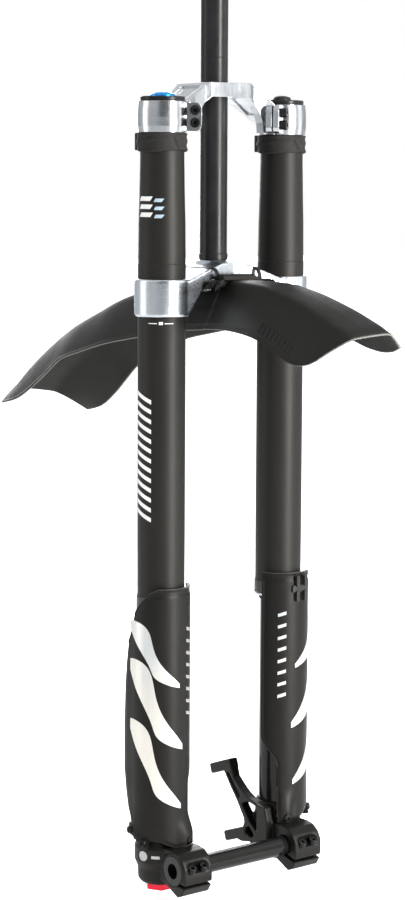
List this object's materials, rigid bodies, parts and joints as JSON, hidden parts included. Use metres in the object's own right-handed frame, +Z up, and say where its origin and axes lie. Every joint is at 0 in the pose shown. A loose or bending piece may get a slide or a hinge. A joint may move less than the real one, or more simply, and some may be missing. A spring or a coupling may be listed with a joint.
{
  "type": "suspension fork",
  "caption": "Upside-down double-crown bicycle suspension fork with mudguard, leg guards, through axle and post brake mount.",
  "frame": {"origin": "centre of the crown race seat, on the steerer axis", "axes": "+Z up the steerer, -Y towards the front of the bicycle, +X to the rider's left"},
  "size_m": [0.2292, 0.598, 0.9515],
  "materials": {
    "polished_alloy": "polished",
    "steerer_coat": "satin anodised",
    "tube_coat": "matte",
    "stanchion_coat": "gloss",
    "forged_black": "satin",
    "guard_plastic": "satin",
    "mudguard_plastic": "matte",
    "bumper_rubber": "matte",
    "seal_rubber": "satin",
    "seal_ring": "satin anodised",
    "cap_black": "satin anodised",
    "bolt_black": "oiled black oxide",
    "knob_blue": "anodised",
    "knob_red": "anodised",
    "cap_plastic": "satin",
    "tie_plastic": "satin",
    "bushing_lining": "lined",
    "foam": "open cell",
    "cartridge_alloy": "machined",
    "rod_steel": "hard chromed",
    "valve_brass": "nickel plated",
    "bumper_elastomer": "matte"
  },
  "bodies": {
    "chassis": {"steerer_tube": "steerer_coat", "upper_crown": "polished_alloy", "upper_crown_bolts": "bolt_black", "lower_crown": "polished_alloy", "lower_crown_bolts": "bolt_black", "outer_tube_damper": "tube_coat", "outer_tube_air": "tube_coat", "frame_bumper_damper": "bumper_rubber", "frame_bumper_air": "bumper_rubber", "top_cap_damper": "cap_black", "top_cap_air": "cap_black", "seal_collar_damper": "seal_ring", "seal_collar_air": "seal_ring", "wiper_seal_damper": "seal_rubber", "wiper_seal_air": "seal_rubber", "foam_ring_damper": "foam", "foam_ring_air": "foam", "bushings_damper": "bushing_lining", "bushings_air": "bushing_lining", "damper_cartridge": "cartridge_alloy", "air_cartridge": "cartridge_alloy", "damper_seal_head": "cartridge_alloy", "air_seal_head": "cartridge_alloy", "air_valve": "valve_brass", "mudguard": "mudguard_plastic", "mudguard_bracket": "mudguard_plastic", "zip_ties": "tie_plastic"},
    "lowers": {"stanchion_damper": "stanchion_coat", "stanchion_air": "stanchion_coat", "dropout_damper": "forged_black", "dropout_air": "forged_black", "through_axle": "forged_black", "axle_pinch_bolts": "bolt_black", "leg_guard_damper": "guard_plastic", "leg_guard_air": "guard_plastic", "guard_screws": "bolt_black", "hose_clip": "cap_plastic", "damper_rod": "rod_steel", "air_rod": "rod_steel", "damper_piston": "cartridge_alloy", "air_piston": "cartridge_alloy", "bottom_bumper_damper": "bumper_elastomer", "bottom_bumper_air": "bumper_elastomer", "foot_nut_air": "bolt_black", "foot_nut_damper": "bolt_black"},
    "compression_knob": {"compression_knob": "knob_blue"},
    "valve_cap": {"valve_cap": "cap_plastic"},
    "rebound_knob": {"rebound_knob": "knob_red"}
  },
  "joints": [
    {"name": "fork_travel", "type": "slide", "parent": "chassis", "child": "lowers", "axis": [0, 0, 1], "range_m": [0, 0.203], "stiffness_N_per_m": 4500, "springref_m": -0.02},
    {"name": "compression_adjust", "type": "hinge", "parent": "chassis", "child": "compression_knob", "pos_m": [-0.077, -0.016, 0.165], "axis": [0, 0, 1], "range_deg": [-540, 540]},
    {"name": "rebound_adjust", "type": "hinge", "parent": "lowers", "child": "rebound_knob", "pos_m": [-0.077, -0.016, -0.648], "axis": [0, 0, 1], "range_deg": [-450, 450]},
    {"name": "valve_cap_turn", "type": "hinge", "parent": "chassis", "child": "valve_cap", "pos_m": [0.077, -0.016, 0.165], "axis": [0, 0, 1], "range_deg": [0, 720]}
  ]
}
